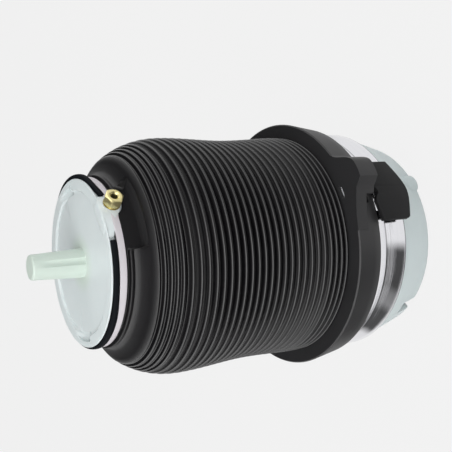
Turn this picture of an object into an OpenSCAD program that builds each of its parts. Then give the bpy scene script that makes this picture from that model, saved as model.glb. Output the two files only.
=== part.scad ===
// Air suspension spring: a rolling sleeve between an aluminium guide can and a piston,
// covered by a convoluted dust boot. +Z runs from the base face up to the cap's spigot.
// +X points at the air fitting. All sizes are in millimetres and degrees.

/* [Overall] */
// Height from the base face to the cap face, at ride height
body_h = 242.6; // [240:0.2:250]
// Clearance between parts that are fixed to each other
fit_gap = 0.1; // [0.05:0.01:0.15]
// Clearance between the guide can or cap and the soft parts
soft_gap = 0.3; // [0.25:0.05:0.5]

/* [Base seat] */
// Step from the can's lower edge in to the castellated rim
rim_inset = 10.1; // [9:0.1:11]
// Radial width of the rim at the base face
rim_w = 4; // [3:0.5:5]
// Height of the cone from the base face to the can's rolled edge
cone_h = 33.5; // [32:0.5:35]
// Wall of the cone outside the cored groove
cone_wall = 3.5; // [2.5:0.5:4]
// Height of the floor's underside
floor_z = 10; // [8:0.5:12]
// Thickness of the floor
floor_t = 4; // [3:0.5:5]
// Wall of the collar that carries the sleeve
collar_t = 2.6; // [2.2:0.1:3]
// Height of the chamber's collar above the base face
collar_top = 62; // [60:1:66]
// Bore radius of the central locating socket
socket_r = 10; // [8:0.5:12]
// Depth of the locating socket
socket_depth = 14; // [12:0.5:16]
// Wall round the locating socket
socket_wall = 5; // [4:0.5:6]
// Width of the three rim notches, in degrees
notch_angle = 9; // [7:0.5:11]
// Height of the rim notches
notch_h = 15; // [12:0.5:16]
// Ribs under the floor
floor_ribs = 16; // [12:1:20]
// Ribs in the cored groove
groove_ribs = 24; // [16:1:30]
// Thickness of the ribs
rib_t = 2.4; // [1.8:0.2:3]
// Radial reach of the single rim lug
lug_reach = 6; // [5:0.5:7]
// Width of the rim lug
lug_w = 13; // [11:0.5:15]
// Height of the rim lug
lug_h = 12; // [8:1:14]

/* [Guide can] */
// Outer radius of the can's wide lower end
can_r = 82.6; // [82:0.1:84]
// Sheet thickness of the can
can_wall = 1.5; // [1.2:0.1:1.8]
// Depth of the groove above the can's wide lower end
groove_d = 3; // [2.5:0.1:3.5]
// Height from the can's rolled edge to the groove
groove_up = 14; // [13:0.5:15]
// Height of the flare from the groove to the seat under the boot ring
flare_h = 10; // [8:0.5:11]
// Step from the can's wide lower end out to the seat under the boot ring
seat_step = 2.2; // [1.8:0.1:2.6]
// Step from the can's wide lower end in to the guide tube
guide_inset = 9.6; // [9.2:0.1:10]
// Height of the shoulder that carries the boot's foot
shoulder_z = 77; // [75:0.5:79]
// Height of the guide tube's top edge
guide_top = 140; // [136:1:144]
// Radius step of the rolled top edge
guide_lip = 1; // [0.6:0.1:1.2]

/* [Boot ring] */
// Wall of the ring at its rear edge
ring_wall = 1.5; // [1.2:0.1:1.8]
// Flare of the ring from its rear edge to its flange
ring_flare = 3.3; // [3:0.1:3.6]
// Step from the guide tube to the bore of the ring's flange
ring_bore_step = 3.6; // [3.2:0.1:4]
// Flange thickness
ring_flange_t = 2.5; // [2:0.1:3]
// Height of the ring from its rear edge to the flange face
ring_h = 22; // [20:0.5:24]
// Reach of the latch lobe beyond the flange
lobe_reach = 14.4; // [12:0.2:16]
// Height of the lobe's hood
lobe_h = 15.5; // [13:0.5:17]
// Wall of the lobe's hood
lobe_wall = 2.2; // [1.8:0.1:3]
// Length of the flange slot
slot_len = 9; // [8:0.5:10]
// Width of the flange slot
slot_w = 3.7; // [3.2:0.1:4.2]

/* [Ring latch] */
// Step from the ring's flange out to the face of the latch plate
latch_step = 2; // [1.6:0.1:2.6]
// Thickness of the latch plate
latch_t = 3; // [2.4:0.1:3.5]
// Width of the latch plate, in degrees
latch_angle = 27.4; // [26:0.2:29]
// Distance from the can's rolled edge down to the plate's lowest point
latch_drop = 0.9; // [0:0.1:1.5]
// Height of the plate's upper corners above the ring's rear edge
latch_up = 2.4; // [1.5:0.1:3.5]
// Width of the tongue that reaches into the ring's lobe, in degrees
tongue_angle = 9; // [7:0.5:10]
// Clearance between the tongue and the ring's flange
tongue_gap = 1.5; // [1:0.1:3]

/* [Air sleeve] */
// Wall of the rolling sleeve
sleeve_wall = 1.8; // [1.6:0.1:2.2]
// Height of the top of the rolling lobe, at ride height
sleeve_top = 127; // [124:0.5:130]
// Height of the sleeve's lower end
sleeve_foot = 46; // [44:0.5:48]
// Height of the crimp rings
clamp_h = 9; // [7:0.5:10]
// Thickness of the crimp rings
clamp_t = 2; // [1.5:0.1:2.5]

/* [Piston] */
// Outer radius of the piston tube
piston_r = 46; // [44:0.5:48]
// Wall of the piston tube
piston_wall = 2.5; // [2:0.1:3]
// Depth of the piston head's lower face below the cap face
piston_len = 144.6; // [140:0.2:147]
// Height of the sleeve's seat on the piston head
head_seat_h = 14; // [12:0.5:16]
// Length of the head's spigot in the tube
head_spigot_h = 12; // [10:0.5:14]
// Radius of the head's central air passage
head_port_r = 12; // [9:0.5:16]
// Section radius of the O-rings on the tube
seal_r = 1.1; // [0.9:0.1:1.3]

/* [Bump stop] */
// Radius of the bump stop
bump_r = 22; // [20:0.5:25]
// Height of the bump stop above its cup
bump_h = 15; // [12:0.5:17]
// Sheet thickness of the bump stop's cup
cup_t = 1.5; // [1.2:0.1:2]
// Height of the cup
cup_h = 4; // [3.5:0.1:5]
// Radius of the screw that holds the cup
cup_screw_r = 2.5; // [2:0.25:3]

/* [Cap] */
// Step from the piston tube out to the cap's edge
cap_step = 8.4; // [8.2:0.1:8.8]
// Thickness of the cap's disc at the rim
cap_t = 5; // [4.5:0.25:5.5]
// Width of the rim round the recessed middle of the cap face
cap_rim_w = 8.2; // [7.8:0.1:8.8]
// Depth of the recess
recess_d = 1.5; // [1:0.1:2]
// Depth of the tube's socket in the cap
tube_socket_h = 10; // [9:0.5:11]
// Depth of the tube's top end below the cap face
tube_drop = 16; // [15.8:0.1:17]
// Step from the cap's edge in to the skirt inside the boot's collar
skirt_inset = 2.2; // [2:0.1:2.4]
// Height of the rubber strip's groove
strip_h = 3.5; // [3:0.1:3.8]
// Distance from the cap face to the rubber strip
strip_drop = 1.1; // [0.9:0.1:1.3]
// Depth of the strip's groove
strip_depth = 1.4; // [1.2:0.1:1.6]
// Reach of the strip beyond the cap's edge
strip_out = 1.6; // [1.2:0.1:1.9]
// Width of the two crescent pockets in the rim, in degrees
crescent_angle = 28; // [24:1:32]
// Radial width of the crescent pockets in the rim
crescent_w = 4.6; // [4:0.1:5]
// Depth of the crescent pockets
crescent_d = 3.2; // [2.4:0.1:3.4]

/* [Spigot] */
// Length of the spigot above the recessed face
spigot_len = 33.7; // [30:0.5:38]
// Radius at the spigot's root
spigot_root_r = 9.6; // [9:0.1:10.5]
// Radius at the spigot's tip
spigot_tip_r = 8.2; // [7.6:0.1:8.8]
// Number of flutes along the spigot
flutes = 4; // [3:1:6]
// Radius of the flutes
flute_r = 1.9; // [1.6:0.1:2.4]

/* [Air fitting] */
// Depth of the fitting's axis below the cap face
fitting_drop = 8; // [7.8:0.1:8.2]
// Radius of the moulded boss
boss_r = 6.2; // [6.1:0.1:6.6]
// Reach of the boss beyond the cap's edge
boss_reach = 1; // [0.6:0.1:1.4]
// Width across the flats of the union nut
hex_af = 10.5; // [10:0.5:11.5]
// Height of the nut's hexagon
hex_h = 6; // [5:0.5:6.5]
// Space under the hexagon before the nut is tightened
nut_gap = 1.2; // [1.15:0.05:1.4]
// Bore radius for the air line
line_r = 2.1; // [1.8:0.1:2.3]
// Radius of the air port behind the line, in the insert and the cap
port_r = 1.4; // [1.2:0.1:1.5]
// Radius of the nut's shank
shank_r = 4; // [3.8:0.1:4.2]
// Length of the nut's shank inside the insert
shank_len = 6.4; // [6:0.1:6.6]
// Outer radius of the brass insert
insert_r = 5.4; // [5.2:0.1:5.6]
// Length of the brass insert
insert_len = 17.4; // [17:0.1:17.6]
// Section radius of the insert's O-ring
ring_seal_r = 0.5; // [0.4:0.05:0.5]
// Radius of the valve's disc
poppet_r = 2.9; // [2.7:0.1:3]
// Wire radius of the valve spring
valve_wire = 0.2; // [0.15:0.01:0.22]

/* [Boot collar] */
// Height of the white clamp band
band_h = 4.5; // [4:0.1:4.8]
// Distance from the cap face to the clamp band
band_drop = 5; // [4.9:0.05:5.2]
// Thickness of the clamp band
band_t = 0.8; // [0.6:0.1:1]
// Wall of the boot's collar
collar_wall = 2; // [1.8:0.1:2.2]
// Reach of the bead beyond the collar
bead_out = 2.2; // [2:0.1:2.6]
// Height of the bead
bead_h = 2.5; // [2.2:0.1:2.8]
// Distance from the cap face to the bead's lower edge
bead_drop = 14; // [13.5:0.1:14.5]

/* [Boot body] */
// Wall of the boot's folds
boot_wall = 1.1; // [0.9:0.1:1.2]
// Number of fold crests
folds = 29; // [26:1:29]
// Depth of the folds
fold_depth = 2.9; // [2.6:0.1:3]
// Pitch of the three folds next to the boot ring
foot_pitch = 4.3; // [4:0.1:4.6]
// Pitch of the four folds under the shoulder
top_pitch = 3.2; // [3:0.1:3.4]
// Distance from the cap face to the first fold
fold_drop = 24; // [23.5:0.1:25]
// Width of the shoulder from the bead to the first fold
shoulder_w = 12.4; // [11.5:0.1:13]
// Step from the guide tube to the crests at the boot's waist
waist_step = 5.4; // [5.3:0.1:6]
// Reach of the bulge beyond the waist
bulge_out = 2; // [1:0.1:2.6]
// Reach of the last fold beyond the waist
foot_out = 1.8; // [1:0.1:2.2]
// Height of the bulge, as a share of the folded length
bulge_share = 0.727; // [0.65:0.01:0.76]
// Height of the waist, as a share of the folded length
waist_share = 0.376; // [0.3:0.01:0.45]
// Reach of the foot bead beyond the guide tube
foot_step = 6.4; // [6.2:0.1:6.6]
// Height of the boot's foot bead
foot_h = 3.2; // [3:0.1:3.3]
// Depth of the fitting's pocket below the bead
pocket_h = 9.6; // [9:0.1:10]
// Step from the collar out to the pocket's wall
pocket_step = 0.9; // [0.7:0.1:1.1]

/* [Hidden] */
$fn = 96;

// Radii that follow from the can
rim_r = can_r - rim_inset;
groove_r = can_r - groove_d;
seat_r = can_r + seat_step;
guide_r = can_r - guide_inset;
ring_bore_r = guide_r + ring_bore_step;
ring_in_r = seat_r + soft_gap + fit_gap;
ring_rear_r = ring_in_r + ring_wall;
ring_r = ring_rear_r + ring_flare;
latch_r = ring_r + latch_step;
foot_r = guide_r + foot_step;

// Base seat
lug_at = -8;                      // middle of the rim lug, degrees from the fitting
notch_at = [-85.5, 34.5, 154.5];  // middles of the notches, degrees from the fitting
cone_gap = 0.9;                   // step between the cone and the can's sheet
cone_r = can_r - can_wall - cone_gap + can_wall / 2;
floor_top = floor_z + floor_t;
flange_z0 = cone_h + can_wall;
flange_z1 = flange_z0 + 4.5;
flange_r = can_r - can_wall - 2 * fit_gap;
neck_r = flange_r - 1.8;
base_seal_z = flange_z0 + 2.3;
collar_r = guide_r - can_wall - soft_gap - sleeve_wall - fit_gap;
chamber_r = collar_r - collar_t;
socket_top = socket_depth + 4;
tub_r = chamber_r - 4.7;

// Guide can
can_z0 = cone_h;
groove_z = can_z0 + groove_up;
flare_z = groove_z + 2 + flare_h;
can_rim_z = shoulder_z + foot_h - 2 * fit_gap;

// Boot ring and latch
ring_z1 = shoulder_z + foot_h + soft_gap + ring_flange_t;
ring_z0 = ring_z1 - ring_h;
lobe_from = -35;                  // gentle side of the lobe, degrees from the fitting
lobe_step = -18.6;                // start of its step
lobe_full = -15.2;
lobe_flat = -9.5;
lobe_to = 1.5;
hood_step = 6.5;                  // rise of the hood's rear edge on the gentle side
hood_at = -20.5;                  // where that rise ends
slot_at = -15.7;
slot_mid_r = seat_r - 2.15;
latch_from = -31.5;
latch_z0 = can_z0 - latch_drop;
latch_z1 = ring_z0 + latch_up;
tongue_from = -16.5;
tongue_z1 = ring_z1 - ring_flange_t - tongue_gap;

// Air sleeve
sleeve_r = guide_r - can_wall - soft_gap;
sleeve_in_r = piston_r + soft_gap;
lobe_mid_r = (sleeve_r + sleeve_in_r) / 2;
lobe_out_r = (sleeve_r - sleeve_in_r) / 2;

// Piston
head_z = body_h - piston_len;
tube_top = body_h - tube_drop;
tube_bore = piston_r - piston_wall;
tube_foot = head_z + head_seat_h;
cap_foot = tube_top - tube_socket_h;
cavity_r = tube_bore - 1;
sleeve_inner_end = head_z + 1;

// Bump stop
cup_z = socket_top;
bump_z = cup_z + cup_t;

// Cap and fitting
cap_r = piston_r + cap_step;
recess_r = cap_r - cap_rim_w;
skirt_r = cap_r - skirt_inset;
strip_z1 = body_h - strip_drop;
strip_z0 = strip_z1 - strip_h;
strip_in_r = cap_r - strip_depth;
strip_r = cap_r + strip_out;
strip_from = 10;                  // the strip runs from here round to strip_to
strip_to = 334;
band_z1 = body_h - band_drop;
band_z0 = band_z1 - band_h;
fit_z = body_h - fitting_drop;
boss_end = cap_r + boss_reach;
insert_x0 = boss_end - insert_len;
seat_x = insert_x0 + 5.8;
hex_x = boss_end + nut_gap;
shank_x = boss_end - shank_len;
poppet_x = seat_x - 0.05;
crescent_at = [55, -149];         // starts of the crescent pockets, degrees from the fitting

// Boot
collar_in = skirt_r + soft_gap;
collar_out = collar_in + collar_wall;
bead_r = collar_out + bead_out;
bead_z0 = body_h - bead_drop;
bead_z1 = bead_z0 + bead_h;
fold_top_r = bead_r + shoulder_w;
waist_r = guide_r + waist_step;
bulge_r = waist_r + bulge_out;
fold_foot_r = waist_r + foot_out;
fold_z1 = body_h - fold_drop;
fold_z0 = ring_z1 + 1.7;
foot_folds = 3;
top_folds = 4;
mid_z0 = fold_z0 + foot_folds * foot_pitch;
mid_z1 = fold_z1 - top_folds * top_pitch;
mid_pitch = (mid_z1 - mid_z0) / (folds - 1 - foot_folds - top_folds);
bulge_z = fold_z0 + bulge_share * (fold_z1 - fold_z0);
waist_z = fold_z0 + waist_share * (fold_z1 - fold_z0);
pocket_r = collar_out + pocket_step;
pocket_z = bead_z1 + 1.4 - pocket_h;
pocket_from = -31.5;
pocket_to = 13;
foot_z = shoulder_z + fit_gap;

// A smooth step from 0 to 1
function ease(t) = let (u = min(1, max(0, t))) u * u * (3 - 2 * u);

// Height of a fold crest; the folds are closer at both ends of the boot
function fold_z(i) =
    i < foot_folds ? fold_z0 + i * foot_pitch
    : i > folds - 1 - top_folds ? fold_z1 - (folds - 1 - i) * top_pitch
    : mid_z0 + (i - foot_folds) * mid_pitch;

// Radius of the fold crests at height z
function crest_r(z) =
    z > bulge_z ? bulge_r + (fold_top_r - bulge_r) * pow((z - bulge_z) / (fold_z1 - bulge_z), 2.4)
    : z > waist_z ? bulge_r + (waist_r - bulge_r) * ease((bulge_z - z) / (bulge_z - waist_z))
    : waist_r + (fold_foot_r - waist_r) * ease((waist_z - z) / (waist_z - fold_z0));

// One point of a quadratic curve
function bend(a, b, c, t) = (1 - t) * (1 - t) * a + 2 * t * (1 - t) * b + t * t * c;

// The boot's outline from foot to collar; d is 0 outside and boot_wall inside
function fold_points(d) = [
    for (i = [0 : folds - 1], k = [0 : 3])
        let (z = fold_z(i),
             pitch = k < 2 ? z - fold_z(i - 1) : fold_z(i + 1) - z,
             crest = pitch * 0.16 - 0.35 * d,
             valley = pitch * 0.36 - 0.3 * d,
             dz = [-valley, -crest, crest, valley][k],
             dr = (k == 0 || k == 3) ? fold_depth * min(1, pitch / 5) : 0)
        if ((i > 0 || k > 0) && (i < folds - 1 || k < 3)) [crest_r(z) - dr - d, z + dz]];

function shoulder_points(d) = [
    for (i = [0 : 5])
        bend([fold_top_r - 0.5 - d, fold_z1 + 1.4],
             [bead_r + 3.8 - d, bead_z0 - 5.6 - d * 0.8],
             [bead_r - 0.3 - d, bead_z0 - d], i / 5)];

// Reach of the ring's outline at an angle from the fitting
function lobe_at(a) =
    a < lobe_step ? lobe_reach / 2 * pow((a - lobe_from) / (lobe_step - lobe_from), 2.2)
    : a < lobe_full ? lobe_reach / 2 * (1 + ease((a - lobe_step) / (lobe_full - lobe_step)))
    : a < lobe_flat ? lobe_reach * (1 + 0.02 * sin(180 * (a - lobe_full) / (lobe_flat - lobe_full)))
    : lobe_reach * (1 - ease((a - lobe_flat) / (lobe_to - lobe_flat)));

function polar(r, a) = [r * cos(a), r * sin(a)];

module ring_of(points) {
    rotate_extrude() polygon(points);
}

module arc_of(points, from, angle) {
    rotate([0, 0, from]) rotate_extrude(angle = angle) polygon(points);
}

module o_ring(r, z, section) {
    translate([0, 0, z]) rotate_extrude() translate([r, 0]) circle(section, $fn = 24);
}

// Cylinder along +X from x0 to x1 on the fitting's axis
module along_x(x0, x1, r) {
    translate([x0, 0, fit_z]) rotate([0, 90, 0]) cylinder(h = x1 - x0, r = r);
}

// The lobe's outline, grown inwards by d
module lobe_outline(d) {
    steps = 30;
    inner = ring_r - 8;
    span = lobe_to - lobe_from;
    polygon(concat(
        [for (i = [0 : steps]) let (a = lobe_from + span * i / steps)
            polar(ring_r + max(-2.2, lobe_at(a) - d), a)],
        [polar(inner, lobe_to), polar(inner, (lobe_from + lobe_to) / 2), polar(inner, lobe_from)]));
}

module base_seat() {
    color("honeydew") difference() {
        union() {
            difference() {
                ring_of([
                    [0, floor_z], [rim_r - rim_w - 3, floor_z], [rim_r - rim_w, floor_z - 3],
                    [rim_r - rim_w, 0.8], [rim_r - rim_w + 0.8, 0],
                    [rim_r - 0.8, 0], [rim_r, 0.8],
                    [cone_r, cone_h - 1.6], [cone_r, cone_h - fit_gap],
                    [neck_r, cone_h - fit_gap], [neck_r, flange_z0 + fit_gap],
                    [flange_r, flange_z0 + fit_gap], [flange_r, flange_z1 - 0.6],
                    [flange_r - 0.6, flange_z1], [collar_r, flange_z1],
                    [collar_r, collar_top - 1.2], [collar_r - 1.2, collar_top],
                    [chamber_r, collar_top], [chamber_r, floor_top + 14],
                    [tub_r, floor_top + 4], [tub_r, floor_top],
                    [0, floor_top]]);
                // cored groove, open towards the can's chamber
                ring_of([
                    [chamber_r + 5, floor_top + 10], [rim_r + 3, floor_top + 10],
                    [cone_r - cone_wall, cone_h - 1], [cone_r - cone_wall, flange_z1 + 1],
                    [chamber_r + 5, flange_z1 + 1]]);
                // groove of the seal in the flange's edge
                ring_of([[flange_r - 2 * seal_r, base_seal_z - seal_r - fit_gap],
                         [flange_r + 1, base_seal_z - seal_r - fit_gap],
                         [flange_r + 1, base_seal_z + seal_r + fit_gap],
                         [flange_r - 2 * seal_r, base_seal_z + seal_r + fit_gap]]);
            }
            // ribs across the cored groove
            for (i = [0 : groove_ribs - 1])
                rotate([90, 0, i * 360 / groove_ribs])
                    translate([0, 0, -rib_t / 2]) linear_extrude(rib_t) polygon([
                        [chamber_r + 4.6, floor_top + 9.6], [rim_r + 3.4, floor_top + 9.6],
                        [cone_r - cone_wall + 0.2, cone_h - 2], [chamber_r + 4.6, cone_h - 2]]);
            // locating socket, ending in the seat of the bump stop's cup
            cylinder(h = socket_top, r = socket_r + socket_wall);
            // ribs under the floor
            for (i = [0 : floor_ribs - 1])
                rotate([0, 0, (i + 0.5) * 360 / floor_ribs])
                    translate([socket_r + socket_wall - 0.5, -rib_t / 2, 3])
                        cube([rim_r - rim_w - socket_r - socket_wall + 1, rib_t, floor_z - 2.5]);
            // lug that keys the seat to the suspension arm
            intersection() {
                rotate([0, 0, lug_at]) translate([rim_r + lug_reach - lug_w / 2, 0, 0]) ring_of([
                    [0, 0], [lug_w / 2 - 0.8, 0], [lug_w / 2, 0.8],
                    [lug_w / 2, lug_h - 3], [lug_w / 2 - 2.4, lug_h], [0, lug_h]]);
                ring_of([[rim_r - rim_w + 1, -1], [can_r, -1],
                         [can_r, lug_h + 1], [rim_r - rim_w + 1, lug_h + 1]]);
            }
        }
        translate([0, 0, -1]) cylinder(h = socket_depth + 1, r = socket_r);
        translate([0, 0, -1]) cylinder(h = socket_top + 2, r = cup_screw_r + fit_gap);
        for (a = notch_at)
            arc_of([[rim_r - rim_w - 1, -1], [rim_r + 12, -1],
                    [rim_r + 12, notch_h], [rim_r - rim_w - 1, notch_h]],
                   a - notch_angle / 2, notch_angle);
    }
}

module base_seal() {
    color("dimgray") o_ring(flange_r - seal_r + fit_gap, base_seal_z, seal_r);
}

module outer_guide() {
    w = can_wall;
    lip_in = neck_r + 2 * fit_gap;
    step_r = foot_r + soft_gap + fit_gap;
    color("silver") ring_of([
        [lip_in, can_z0], [can_r - 0.8, can_z0], [can_r, can_z0 + 0.8],
        [can_r, groove_z - 3.8], [can_r - 0.5, groove_z - 2.6],
        [groove_r + 0.5, groove_z - 0.8], [groove_r, groove_z],
        [groove_r, groove_z + 2], [groove_r + 0.6, groove_z + 3.6],
        [seat_r - 0.5, flare_z - 1.4], [seat_r, flare_z],
        // raised rim round the boot's foot, then the shoulder under it
        [seat_r, can_rim_z - 2.4], [seat_r - 0.6, can_rim_z - 0.6], [seat_r - 1.8, can_rim_z],
        [step_r, can_rim_z], [step_r, shoulder_z],
        [guide_r, shoulder_z], [guide_r, guide_top - 3],
        [guide_r + guide_lip, guide_top - 1.6], [guide_r + guide_lip, guide_top - 0.4],
        [guide_r + guide_lip - 0.4, guide_top],
        [guide_r - w + 0.6, guide_top], [guide_r - w, guide_top - 1],
        [guide_r - w, shoulder_z - w], [step_r + w, shoulder_z - w],
        [step_r + w, can_rim_z - w], [seat_r - w - 0.8, can_rim_z - w],
        [seat_r - w, can_rim_z - w - 1.4], [seat_r - w, flare_z + 0.3],
        [seat_r - w - 0.3, flare_z - 0.7], [groove_r + 0.8 - w, groove_z + 4.3],
        [groove_r - w, groove_z + 2.3], [groove_r - w, groove_z - 0.4],
        [groove_r + 1 - w, groove_z - 1.9], [can_r - w - 0.2, groove_z - 3.6],
        [can_r - w, groove_z - 4.3], [can_r - w, can_z0 + w], [lip_in, can_z0 + w]]);
}

module boot_ring() {
    under = ring_z1 - ring_flange_t;
    hood_z0 = ring_z1 - lobe_h;
    color([0.1, 0.1, 0.105]) difference() {
        union() {
            ring_of([
                [ring_bore_r, under], [ring_in_r, under], [ring_in_r, ring_z0],
                [ring_rear_r - 0.4, ring_z0], [ring_rear_r, ring_z0 + 0.5],
                [ring_r, ring_z1 - 0.8], [ring_r - 0.8, ring_z1],
                [ring_bore_r + 0.5, ring_z1], [ring_bore_r, ring_z1 - 0.5]]);
            difference() {
                translate([0, 0, hood_z0]) linear_extrude(lobe_h) lobe_outline(0);
                // the hood's rear edge rises on the gentle side
                arc_of([[ring_r - 10, hood_z0 - 1], [ring_r + lobe_reach, hood_z0 - 1],
                        [ring_r + lobe_reach, hood_z0 + hood_step],
                        [ring_r - 10, hood_z0 + hood_step]],
                       lobe_from - 3, hood_at - lobe_from + 3);
            }
        }
        // the hood is open below, and towards the can where the tongue enters
        translate([0, 0, hood_z0 - 1])
            linear_extrude(lobe_h + 1 - ring_flange_t)
                intersection() {
                    lobe_outline(lobe_wall);
                    polygon([[0, 0], polar(130, lobe_from + 12), polar(130, lobe_to - 2)]);
                }
        translate([0, 0, ring_z0 - 1]) cylinder(h = ring_h + 1 - ring_flange_t, r = ring_in_r);
        // slot through the flange
        rotate([0, 0, slot_at]) translate([slot_mid_r, 0, under - 1]) {
            translate([-slot_w / 2, -slot_len / 2 + slot_w / 2, 0])
                cube([slot_w, slot_len - slot_w, ring_flange_t + 2]);
            for (side = [-1, 1])
                translate([0, side * (slot_len - slot_w) / 2, 0])
                    cylinder(h = ring_flange_t + 2, r = slot_w / 2);
        }
    }
}

module ring_latch() {
    in_r = latch_r - latch_t;
    mid = latch_from + latch_angle / 2;
    half = latch_r * sin(latch_angle / 2);
    color([0.15, 0.15, 0.155]) union() {
        // the plate's outline, cut from a cylindrical shell
        intersection() {
            arc_of([[in_r, latch_z0 - 1], [latch_r, latch_z0 - 1],
                    [latch_r, latch_z1 + 1], [in_r, latch_z1 + 1]],
                   latch_from - 2, latch_angle + 4);
            rotate([0, 0, mid]) translate([in_r - 12, 0, 0]) rotate([90, 0, 90])
                linear_extrude(latch_t + 24) polygon([
                    [half, latch_z1], [half, latch_z0 + 7.9], [half * 0.2, latch_z0 + 1.3],
                    [0, latch_z0 + 0.2], [-half * 0.12, latch_z0], [-half * 0.34, latch_z0 + 0.4],
                    [-half * 0.96, latch_z0 + 3.7], [-half, latch_z0 + 5], [-half, latch_z1 - 2.7],
                    [-half * 0.38, latch_z1 + 0.1], [-half * 0.28, latch_z1 - 0.6],
                    [-half * 0.1, latch_z1 - 3.9], [half * 0.06, latch_z1 - 2.4],
                    [half * 0.1, latch_z1]]);
        }
        // tongue that snaps into the ring's lobe
        arc_of([[in_r, latch_z1 - 2], [latch_r - 0.4, latch_z1 - 2],
                [latch_r - 0.4, tongue_z1 - 3], [in_r + 1, tongue_z1],
                [in_r, tongue_z1]], tongue_from, tongue_angle);
        // two pads that rest on the can
        for (a = [latch_from + 2, latch_from + latch_angle / 2 + 1])
            arc_of([[can_r + fit_gap, latch_z0 + 4.6], [in_r + 0.5, latch_z0 + 4.6],
                    [in_r + 0.5, latch_z0 + 10], [can_r + fit_gap, latch_z0 + 10]], a, 5);
    }
}

module sleeve_outer_clamp() {
    r = sleeve_r + fit_gap;
    z = sleeve_foot + 3;
    color("gainsboro") ring_of([
        [r, z], [r + clamp_t - 0.4, z], [r + clamp_t, z + 0.4],
        [r + clamp_t, z + clamp_h - 0.4], [r + clamp_t - 0.4, z + clamp_h], [r, z + clamp_h]]);
}

module air_sleeve() {
    mid_z = sleeve_top - lobe_out_r;
    in_r = lobe_out_r - sleeve_wall;
    steps = 16;
    color("darkslategray") ring_of(concat(
        [[sleeve_r - sleeve_wall, sleeve_foot], [sleeve_r, sleeve_foot]],
        [for (i = [0 : steps]) [lobe_mid_r, mid_z] + polar(lobe_out_r, 180 * i / steps)],
        [[sleeve_in_r, sleeve_inner_end], [sleeve_in_r + sleeve_wall, sleeve_inner_end]],
        [for (i = [steps : -1 : 0]) [lobe_mid_r, mid_z] + polar(in_r, 180 * i / steps)]));
}

module boot_skin(d) {
    top = band_z1 + 0.2;
    ring_of(concat(
        [[0, foot_z - 1 + d], [ring_bore_r - 0.5 - d, foot_z - 1 + d],
         [ring_bore_r - 0.5 - d, ring_z1 + 0.3 + d * 0.6]],
        fold_points(d), shoulder_points(d),
        [[bead_r - d, bead_z0 + 0.4], [bead_r - d, bead_z1 - 0.6 - d], [bead_r - 0.6 - d, bead_z1 - d],
         [collar_out - 0.6 - d * 0.8, bead_z1 + 0.3 - d], [collar_out - 0.6 - d * 0.8, band_z0 - 0.3],
         [collar_out - d * 2, band_z0], [collar_out - d * 2, top], [0, top]]));
}

module pocket_cut(d) {
    spread = d / pocket_r * 57.3;
    arc_of([[pocket_r - d, pocket_z - d], [ring_r, pocket_z - d],
            [ring_r, bead_z1 + 1.6], [pocket_r - d, bead_z1 + 1.6]],
           pocket_from - spread, pocket_to - pocket_from + 2 * spread);
}

module dust_boot() {
    foot_in = guide_r + soft_gap + 1;
    color([0.11, 0.1, 0.11]) difference() {
        union() {
            difference() {
                boot_skin(0);
                pocket_cut(0);
            }
            // foot bead under the ring's flange
            ring_of([[foot_in, foot_z], [foot_r, foot_z], [foot_r, foot_z + foot_h - fit_gap * 2],
                     [foot_in, foot_z + foot_h - fit_gap * 2]]);
        }
        difference() {
            boot_skin(boot_wall);
            pocket_cut(boot_wall);
        }
        // the collar's bore, and the space below the foot
        translate([0, 0, bead_z0]) cylinder(h = 20, r = collar_in);
        translate([0, 0, foot_z - 30]) cylinder(h = 30, r = ring_r);
        translate([0, 0, foot_z - 1]) cylinder(h = foot_h + 4, r = foot_in);
        // way through the collar for the fitting's boss
        along_x(skirt_r - 5, ring_r, boss_r + 0.8);
    }
}

module bump_stop() {
    color("khaki") ring_of([
        [cup_screw_r + 3, bump_z], [bump_r - 1, bump_z], [bump_r, bump_z + 1],
        [bump_r, bump_z + bump_h * 0.38], [bump_r - 3, bump_z + bump_h * 0.5],
        [bump_r - 1, bump_z + bump_h * 0.62], [bump_r - 1, bump_z + bump_h - 2],
        [bump_r - 4, bump_z + bump_h], [cup_screw_r + 5, bump_z + bump_h],
        [cup_screw_r + 5, bump_z + 6], [cup_screw_r + 3, bump_z + 6]]);
}

module bump_stop_cup() {
    r = bump_r + fit_gap;
    color("lightsteelblue") ring_of([
        [cup_screw_r + fit_gap, cup_z], [r + cup_t, cup_z], [r + cup_t, cup_z + cup_h],
        [r, cup_z + cup_h], [r, bump_z], [cup_screw_r + fit_gap, bump_z]]);
}

module cup_screw() {
    color("silver") union() {
        translate([0, 0, socket_depth + 0.5])
            cylinder(h = socket_top + cup_t - socket_depth + 0.5, r = cup_screw_r);
        difference() {
            translate([0, 0, bump_z + fit_gap]) cylinder(h = 3, r = cup_screw_r + 2);
            translate([0, 0, bump_z + 1.6]) cylinder(h = 4, r = cup_screw_r * 0.75, $fn = 6);
        }
    }
}

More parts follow.
